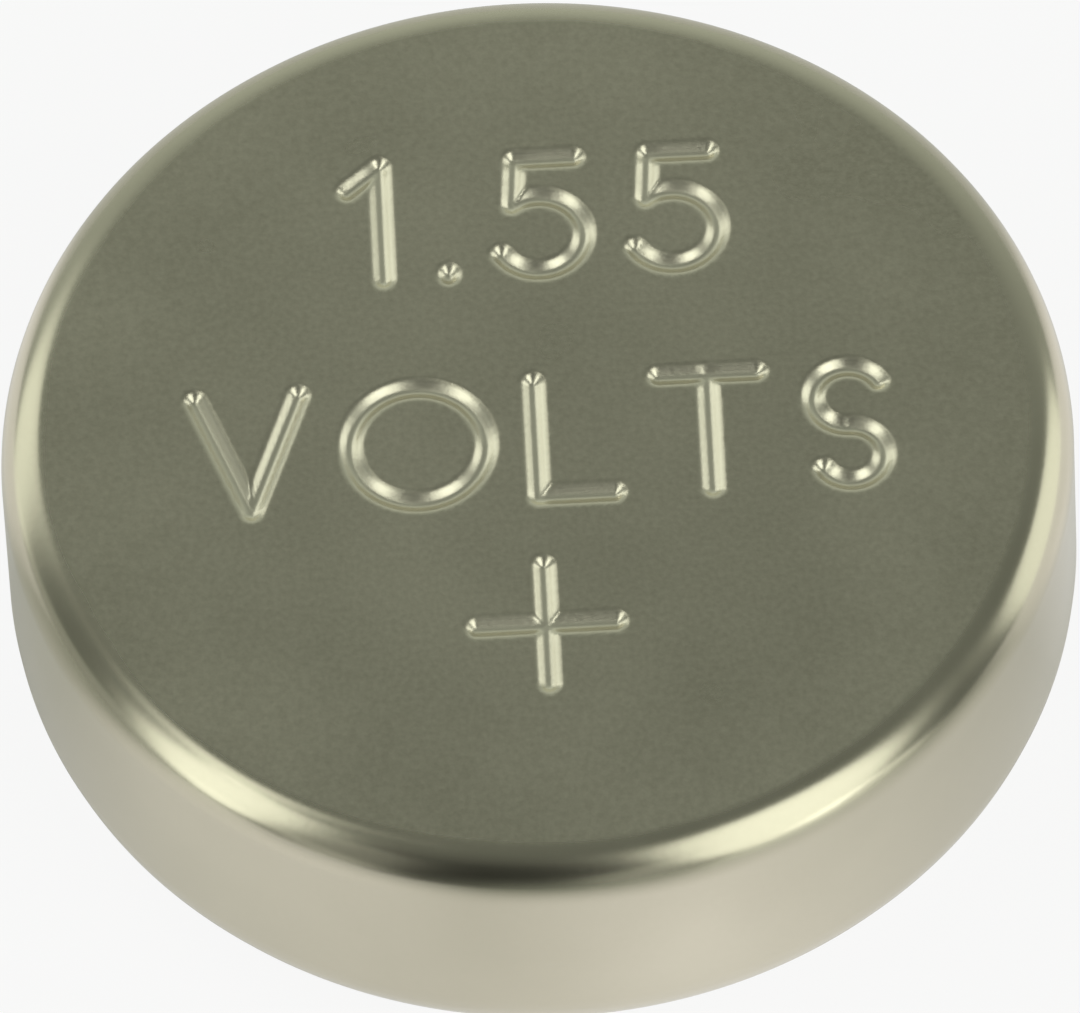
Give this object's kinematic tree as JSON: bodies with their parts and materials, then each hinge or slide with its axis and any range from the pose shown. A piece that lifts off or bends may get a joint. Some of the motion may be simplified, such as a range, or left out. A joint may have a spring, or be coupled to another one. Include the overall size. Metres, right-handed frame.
{
  "type": "silver oxide button cell",
  "caption": "Flat round button cell: a crimped metal can with a rounded edge and a stamped plus, closed by a stepped cap in a sealing ring, to power a watch.",
  "frame": {"origin": "centre of the negative face, on the surface that the cell stands on", "axes": "+Z along the cell's axis towards the positive face, -Y from the middle of the positive face towards its plus mark"},
  "size_m": [0.0078, 0.0078, 0.0026],
  "materials": {
    "can_nickel": "fine satin nickel plating, rubbed brighter on the edges",
    "cap_nickel": "satin nickel cladding",
    "gasket_nylon": "moulded nylon",
    "pressed_oxide": "pressed powder, matte",
    "barrier_film": "thin film, slightly glossy",
    "pad_fibre": "non-woven fibre",
    "zinc_gel": "wet granular paste"
  },
  "bodies": {
    "root": {"positive_can": "can_nickel", "negative_cap": "cap_nickel", "sealing_gasket": "gasket_nylon", "cathode_pellet": "pressed_oxide", "barrier_separator": "barrier_film", "absorbent_pad": "pad_fibre", "zinc_anode": "zinc_gel"}
  },
  "joints": []
}
